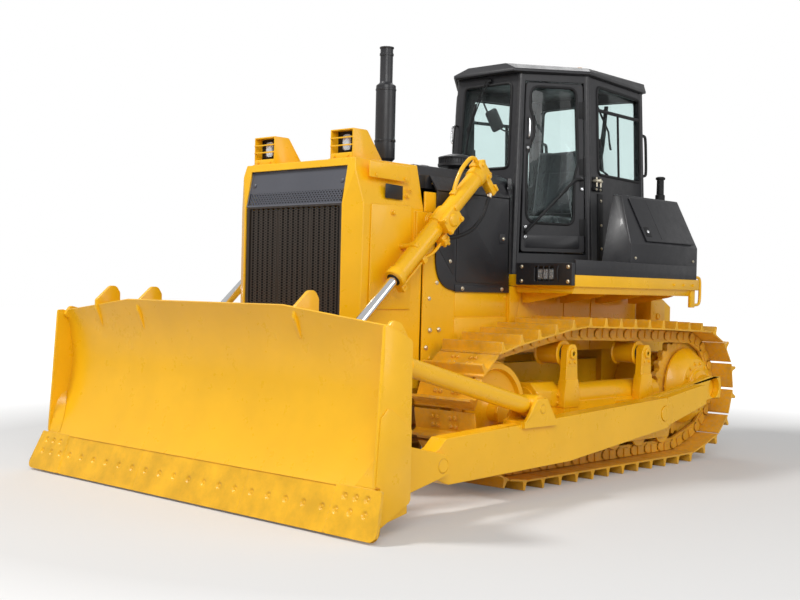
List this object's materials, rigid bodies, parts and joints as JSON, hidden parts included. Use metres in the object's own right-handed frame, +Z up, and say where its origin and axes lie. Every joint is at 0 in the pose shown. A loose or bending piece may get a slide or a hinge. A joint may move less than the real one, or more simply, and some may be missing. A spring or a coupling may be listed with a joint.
{
  "type": "crawler bulldozer",
  "caption": "Crawler dozer with a straight tilt blade on push arms, lift cylinders, tracks, enclosed cab and side boxes.",
  "frame": {"origin": "bottom centre of the machine's box, on the ground", "axes": "+Z up, +Y towards the rear (the machine drives towards -Y), +X to the machine's left"},
  "size_m": [3.725, 5.75, 3.395],
  "materials": {
    "yellow_paint": "gloss",
    "dark_paint": "satin",
    "track_steel": "satin",
    "blade_steel": "satin",
    "chrome": "polished",
    "cab_glass": "gloss",
    "seat_fabric": "matte",
    "moulded_plastic": "matte",
    "engine_iron": "matte"
  },
  "bodies": {
    "chassis": {"main_frame": "yellow_paint", "equalizer_bar": "yellow_paint", "engine": "engine_iron", "radiator_guard": "yellow_paint", "grille": "dark_paint", "hood": "dark_paint", "exhaust_stack": "dark_paint", "air_precleaner": "dark_paint", "fuel_tank": "dark_paint", "cab_frame": "dark_paint", "cab_roof": "dark_paint", "windshield": "cab_glass", "rear_window": "cab_glass", "dashboard": "moulded_plastic", "seat_cushion": "seat_fabric", "seat_back": "seat_fabric", "left_track": "track_steel", "left_track_frame": "yellow_paint", "left_sprocket": "track_steel", "left_final_drive": "yellow_paint", "left_idler": "yellow_paint", "left_track_rollers": "yellow_paint", "left_headlight": "yellow_paint", "left_side_cover": "dark_paint", "left_fender": "yellow_paint", "left_side_box": "dark_paint", "left_side_window": "cab_glass", "right_track": "track_steel", "right_track_frame": "yellow_paint", "right_sprocket": "track_steel", "right_final_drive": "yellow_paint", "right_idler": "yellow_paint", "right_track_rollers": "yellow_paint", "right_headlight": "yellow_paint", "right_side_cover": "dark_paint", "right_fender": "yellow_paint", "right_side_box": "dark_paint", "right_side_window": "cab_glass"},
    "blade_frame": {"left_push_arm": "yellow_paint", "right_push_arm": "yellow_paint", "left_brace": "yellow_paint", "tilt_cylinder": "yellow_paint", "tilt_rod": "chrome", "left_rod_yoke": "yellow_paint", "right_rod_yoke": "yellow_paint"},
    "blade": {"blade": "yellow_paint", "cutting_edge": "blade_steel"},
    "left_door": {"left_door": "dark_paint", "left_door_glass": "cab_glass"},
    "left_box_lid": {"left_box_lid": "dark_paint"},
    "left_lift_cylinder": {"left_lift_cylinder": "yellow_paint"},
    "left_lift_rod": {"left_lift_rod": "chrome"},
    "right_door": {"right_door": "dark_paint", "right_door_glass": "cab_glass"},
    "right_box_lid": {"right_box_lid": "dark_paint"},
    "right_lift_cylinder": {"right_lift_cylinder": "yellow_paint"},
    "right_lift_rod": {"right_lift_rod": "chrome"}
  },
  "joints": [
    {"name": "blade_lift", "type": "hinge", "parent": "chassis", "child": "blade_frame", "pos_m": [0, 0.853, 0.488], "axis": [-1, 0, 0], "range_deg": [-8.4, 18.4]},
    {"name": "blade_tilt", "type": "hinge", "parent": "blade_frame", "child": "blade", "pos_m": [0, -2.467, 0.36], "axis": [0, -1, 0], "range_deg": [-5.6, 5.6]},
    {"name": "left_cylinder_swing", "type": "hinge", "parent": "chassis", "child": "left_lift_cylinder", "pos_m": [0.78, -1.122, 1.95], "axis": [-1, 0, 0], "range_deg": [-20, 40]},
    {"name": "left_rod_slide", "type": "slide", "parent": "left_lift_cylinder", "child": "left_lift_rod", "axis": [0, -0.7433, -0.669], "range_m": [-0.78, 0.42]},
    {"name": "left_door_hinge", "type": "hinge", "parent": "chassis", "child": "left_door", "pos_m": [0.72891, 0.81084, 1.7], "axis": [-0.0255, -0.028, 0.9993], "range_deg": [0, 90]},
    {"name": "left_lid_hinge", "type": "hinge", "parent": "chassis", "child": "left_box_lid", "pos_m": [1.0665, 1.313, 2.262], "axis": [0, -1, 0], "range_deg": [0, 95]},
    {"name": "right_cylinder_swing", "type": "hinge", "parent": "chassis", "child": "right_lift_cylinder", "pos_m": [-0.78, -1.122, 1.95], "axis": [-1, 0, 0], "range_deg": [-20, 40]},
    {"name": "right_rod_slide", "type": "slide", "parent": "right_lift_cylinder", "child": "right_lift_rod", "axis": [0, -0.7433, -0.669], "range_m": [-0.78, 0.42]},
    {"name": "right_door_hinge", "type": "hinge", "parent": "chassis", "child": "right_door", "pos_m": [-0.72891, 0.81084, 1.7], "axis": [-0.0255, 0.028, -0.9993], "range_deg": [0, 90]},
    {"name": "right_lid_hinge", "type": "hinge", "parent": "chassis", "child": "right_box_lid", "pos_m": [-1.0665, 1.313, 2.262], "axis": [0, 1, 0], "range_deg": [0, 95]}
  ],
  "couplings": [
    {"joint": "left_cylinder_swing", "follows": "blade_lift", "ratio": 1.6},
    {"joint": "left_rod_slide", "follows": "blade_lift", "m_per_rad": -2.3},
    {"joint": "right_cylinder_swing", "follows": "blade_lift", "ratio": 1.6},
    {"joint": "right_rod_slide", "follows": "blade_lift", "m_per_rad": -2.3}
  ]
}
